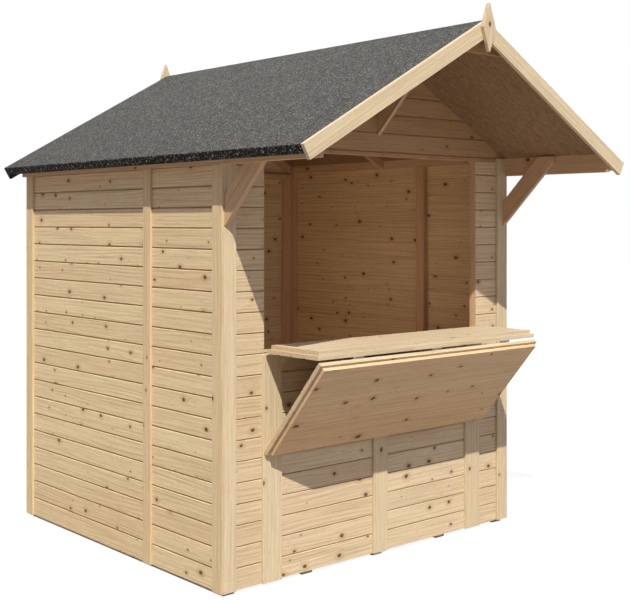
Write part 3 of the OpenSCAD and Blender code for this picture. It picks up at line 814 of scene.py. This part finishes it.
def addFlap(stock, rearPoints, sheet, axes):
    ridge, brow, thickness, back = sheet
    down, out = axes
    foot = min((v for v in rearPoints if abs(v.x) < closeness["level"]), key=lambda v: v.z)
    corner = min(rearPoints, key=lambda v: v.z)
    steps, rows = feltLay["flapSteps"], feltLay["flapRows"]
    points = []
    for i in range(steps + 1):
        share = i / steps
        crest = Vector((ridge.x, 0, ridge.z)).lerp(Vector((brow.x, 0, brow.z)), share)
        crest -= out * thickness * feltLay["flapHead"]
        if i == 0:
            crest.x = 0.0
        hem = Vector((foot.x, 0, foot.z)).lerp(Vector((corner.x, 0, corner.z)), share)
        if i == steps:
            crest -= down * feltLay["foldRadius"] * feltLay["flapFold"]
        for level in range(rows + 1):
            drop = level / rows
            spot = crest.lerp(hem, drop)
            sink = feltLay["wave"] * drop * (1 + noise.noise(spot * feltLay["flapWaveScale"]))
            for y in (back - sink * feltLay["flapSink"], back - thickness):
                points.append(Vector((spot.x, y, spot.z)))
    faces = skinFaces(steps, rows)
    draw = Random(feltLay["flapSeed"])
    # every face of the flap is marked for painted shade
    addSolid(stock, points, faces, (down, out, frontToBack), draw, range(len(faces)))


def addPlate(stock, outline, near, far, axes):
    down, out = axes
    points = [Vector((spot.x, y, spot.z)) for y in (near, far) for spot in outline]
    faces = [(3, 2, 1, 0), (4, 5, 6, 7)] + [(i, (i + 1) % 4, (i + 1) % 4 + 4, i + 4) for i in range(4)]
    draw = Random(feltLay["tailSeed"])
    # every face of the plates is marked for painted shade
    addSolid(stock, points, faces, (down, out, frontToBack), draw, range(len(faces)))


# The felt's return round the tail of the verge board, up to the eave beam
def wrapTail(stock, corner, hem, thickness, back, axes):
    down = axes[0]
    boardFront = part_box("rear_verge_boards")[0].y
    beamSide = -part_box("left_eave_beam")[0].x
    run = (abs(corner.x) - beamSide) / abs(down.x)
    tip = corner + down * thickness
    addPlate(stock, [hem, tip, corner - down * run, hem - down * (run + thickness)],
             boardFront - feltLay["lapThickness"], boardFront, axes)
    addPlate(stock, [hem, tip, corner, hem - down * thickness], boardFront, back - thickness, axes)


def layFelt(side):
    node = side + "_felt"
    verts = [v.co.copy() for v in cadNodes[node].data.vertices]
    front, back = min(v.y for v in verts), max(v.y for v in verts)
    ridge, brow, hem, under = feltSection(verts, front)
    down = (brow - ridge).normalized()
    out = Vector((-down.z, 0, down.x)) if down.x > 0 else Vector((down.z, 0, -down.x))
    thickness = (ridge - under).dot(out)
    path = feltPath(ridge, brow, hem, down, out)
    rows = round((back - front) / feltLay["alongStep"])
    points = []
    for j in range(rows + 1):
        y = front + (back - front) * j / rows
        for k, (spot, way) in enumerate(path):
            here = Vector((spot.x, y, spot.z))
            if k == 0:
                points += [here, Vector((0.0, y, under.z))]
                continue
            swell = noise.noise(here * feltLay["waveScale"] + Vector(feltLay["waveStart"]))
            sink = feltLay["wave"] * min(1.0, feltLay["waveMean"] + feltLay["waveSwing"] * swell)
            points += [here - way * sink, here - way * thickness]
    columns = len(path) - 1
    # the fold and drop faces are marked for painted shade
    turnedDown = {j * (2 * columns + 2) + 2 * k
                  for j in range(rows) for k in range(feltLay["slopeSteps"] + 2, columns)}
    stock = emptyStock()
    addSolid(stock, points, skinFaces(rows, columns), (frontToBack, down, out), Random(node), turnedDown)
    rearPoints = [v for v in verts if v.y > back - closeness["level"]]
    corner = min(rearPoints, key=lambda v: v.z)
    addFlap(stock, rearPoints, (ridge, brow, thickness, back), (down, out))
    wrapTail(stock, corner, hem, thickness, back, (down, out))
    return makePiece(side + "FeltSheet", stock, feltGrit, "stall", "roof_felt", node, smoothAngle=40)


for side in ("left", "right"):
    layFelt(side)
print("felt laid")


# Nail heads: pairs down the trims, and felt nails along the turned-down eaves
nailing = {"sides": 8, "sunk": 0.002, "rimRise": 0.4, "flatShare": 0.7, "uprightBelow": 0.7, "seed": 5,
           "trimRadius": 0.0017, "trimRise": 0.0002, "trimStep": 0.33, "trimEnd": 0.055, "pairShare": 0.27,
           "feltRadius": 0.0038, "feltRise": 0.0008, "feltStep": 0.16, "feltEnd": 0.07, "dropShare": 0.55}
nailedTrims = {"corner_face_trims": frontToBack, "corner_side_trims": acrossFront,
               "side_cover_battens": acrossFront, "back_cover_batten": frontToBack,
               "front_battens": frontToBack}


def addNail(stock, centre, outward, radius, rise):
    along = upwards if abs(outward.z) < nailing["uprightBelow"] else acrossFront
    across = outward.cross(along).normalized()
    along = across.cross(outward).normalized()
    count = nailing["sides"]
    rings = ((radius, -nailing["sunk"]), (radius, rise * nailing["rimRise"]),
             (radius * nailing["flatShare"], rise))
    points = []
    for reach, height in rings:
        for i in range(count):
            turn = 2 * pi * i / count
            points.append(centre + (along * cos(turn) + across * sin(turn)) * reach + outward * height)
    faces = [tuple(range(count))[::-1], tuple(range(2 * count, 3 * count))]
    for ring in (0, count):
        faces += [(ring + i, ring + (i + 1) % count, ring + (i + 1) % count + count, ring + i + count)
                  for i in range(count)]
    addSolid(stock, points, faces, (along, across, outward), Random(nailing["seed"]))


def nailRow(length, end, step):
    # evenly spaced places along a length, the first and last of them an end's distance in
    count = max(1, round((length - 2 * end) / step))
    return [end + (length - 2 * end) * i / count for i in range(count + 1)]


def nailTrims(stock):
    middle = (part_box("floor_deck")[0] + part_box("floor_deck")[1]) / 2
    for node, axis in nailedTrims.items():
        for solid in solidsOf(node):
            spots = [v.co for v in solid.verts]
            centre = sum(spots, Vector()) / len(spots)
            outward = axis if (centre - middle).dot(axis) > 0 else -axis
            side = outward.cross(upwards)
            low, high = min(v.z for v in spots), max(v.z for v in spots)
            width = max(v.dot(side) for v in spots) - min(v.dot(side) for v in spots)
            face = max(v.dot(outward) for v in spots)
            solid.free()
            for height in nailRow(high - low, nailing["trimEnd"], nailing["trimStep"]):
                for share in (-nailing["pairShare"], nailing["pairShare"]):
                    spot = centre + side * width * share + outward * (face - centre.dot(outward))
                    spot.z = low + height
                    addNail(stock, spot, outward, nailing["trimRadius"], nailing["trimRise"])


def nailFelt(stock, side):
    verts = [v.co for v in cadNodes[side + "_felt"].data.vertices]
    front, back = min(v.y for v in verts), max(v.y for v in verts)
    brow, hem = feltSection(verts, front)[1:3]
    across = (brow - hem).normalized()
    outward = Vector((-across.z, 0, across.x)) if side == "left" else Vector((across.z, 0, -across.x))
    for reach in nailRow(back - front, nailing["feltEnd"], nailing["feltStep"]):
        spot = brow.lerp(hem, nailing["dropShare"])
        spot.y = front + reach
        addNail(stock, spot, outward, nailing["feltRadius"], nailing["feltRise"])


nails = emptyStock()
nailTrims(nails)
for side in ("left", "right"):
    nailFelt(nails, side)
makePiece("nailHeads", nails, zincSteel, "stall", "hinge_steel")
print("nails driven")


# Stage: a pale floor that glows for the camera and is duller in the light it sends back
stageLook = {"half": 30.0, "bounce": (0.33, 0.305, 0.28, 1), "seen": (0.12, 0.12, 0.12, 1), "glow": 0.9}


def seenOtherwise(tree, unseen, seen, outputName):
    choice = tree.nodes.new("ShaderNodeMixShader")
    tree.links.new(tree.nodes.new("ShaderNodeLightPath").outputs["Is Camera Ray"], choice.inputs[0])
    tree.links.new(unseen, choice.inputs[1])
    tree.links.new(seen, choice.inputs[2])
    tree.links.new(choice.outputs[0], tree.nodes[outputName].inputs["Surface"])


def makeStage():
    mesh = bpy.data.meshes.new("studioFloor")
    half = stageLook["half"]
    corners = [(-half, -half, 0), (half, -half, 0), (half, half, 0), (-half, half, 0)]
    mesh.from_pydata(corners, [], [(0, 1, 2, 3)])
    putInScene("studioFloor", mesh)
    material = bpy.data.materials.new("paleFloor")
    material.use_nodes = True
    tree = material.node_tree
    tree.nodes.remove(tree.nodes["Principled BSDF"])
    dull = tree.nodes.new("ShaderNodeBsdfDiffuse")
    dull.inputs["Color"].default_value = stageLook["bounce"]
    pale = tree.nodes.new("ShaderNodeBsdfDiffuse")
    pale.inputs["Color"].default_value = stageLook["seen"]
    glow = tree.nodes.new("ShaderNodeEmission")
    glow.inputs["Strength"].default_value = stageLook["glow"]
    both = tree.nodes.new("ShaderNodeAddShader")
    tree.links.new(pale.outputs[0], both.inputs[0])
    tree.links.new(glow.outputs[0], both.inputs[1])
    seenOtherwise(tree, dull.outputs[0], both.outputs[0], "Material Output")
    mesh.materials.append(material)


# Light: a high sun from the front left, weak ones from the rear right and the front, and a room lamp
airLook = {"low": (0.19, 0.165, 0.165, 1), "high": (0.40, 0.41, 0.57, 1), "rise": 0.55}
roomLamp = {"energy": 5.8, "colour": (1.0, 0.78, 0.63), "radius": 0.4, "height": 1.25, "towardsBack": 0.46}
suns = {
    "rearLight": {"energy": 0.9, "spread": 25, "colour": (1.0, 0.97, 0.95), "travel": (-0.55, -0.75, -0.35)},
    "frontLight": {"energy": 0.15, "spread": 60, "colour": (0.55, 0.68, 1.0), "travel": (0.15, 0.95, -0.25)},
    "keyLight": {"energy": 4.6, "spread": 0.6, "colour": (1.0, 0.995, 0.96), "travel": (0.363, 0.51, -0.783)},
}


def makeAir():
    world = bpy.data.worlds.new("studioAir")
    bpy.context.scene.world = world
    world.use_nodes = True
    tree = world.node_tree
    fill = tree.nodes["Background"]
    aloft = tree.nodes.new("ShaderNodeSeparateXYZ")
    tree.links.new(tree.nodes.new("ShaderNodeTexCoord").outputs["Generated"], aloft.inputs[0])
    height = ease(tree, aloft.outputs[2], 0.0, airLook["rise"])
    air = blendColours(tree, height, airLook["low"], airLook["high"])
    tree.links.new(air, fill.inputs["Color"])
    backdrop = tree.nodes.new("ShaderNodeBackground")
    backdrop.inputs["Color"].default_value = (1, 1, 1, 1)
    backdrop.inputs["Strength"].default_value = 1.0
    seenOtherwise(tree, fill.outputs[0], backdrop.outputs[0], "World Output")


def hangLamp():
    lamp = bpy.data.lights.new("roomLight", "POINT")
    lamp.energy = roomLamp["energy"]
    lamp.color = roomLamp["colour"]
    lamp.shadow_soft_size = roomLamp["radius"]
    roomLight = putInScene("roomLight", lamp)
    roomLow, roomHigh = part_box("floor_deck")
    depth = roomLow.y * (1 - roomLamp["towardsBack"]) + roomHigh.y * roomLamp["towardsBack"]
    roomLight.location = ((roomLow.x + roomHigh.x) / 2, depth, roomLamp["height"])
    roomLight.visible_camera = False


def hangSun(name, energy, spread, colour, travel):
    lamp = bpy.data.lights.new(name, "SUN")
    lamp.energy = energy
    lamp.angle = radians(spread)
    lamp.color = colour
    sun = putInScene(name, lamp)
    sun.rotation_euler = Vector(travel).to_track_quat("-Z", "Y").to_euler()


cameraStand = {"lens": 63.45, "sensor": 36.0, "shiftUp": -0.12386, "place": (-3.6875, -4.3309, 1.5732),
               "turn": -41.16}


def placeCamera():
    lens = bpy.data.cameras.new("camera")
    lens.lens = cameraStand["lens"]
    lens.sensor_width = cameraStand["sensor"]
    lens.shift_y = cameraStand["shiftUp"]
    camera = putInScene("camera", lens)
    camera.location = cameraStand["place"]
    camera.rotation_euler = (radians(90), 0, radians(cameraStand["turn"]))
    bpy.context.scene.camera = camera


makeStage()
makeAir()
hangLamp()
for name, look in suns.items():
    hangSun(name, **look)
placeCamera()
bpy.context.scene.view_settings.view_transform = "Standard"
print("stage set")
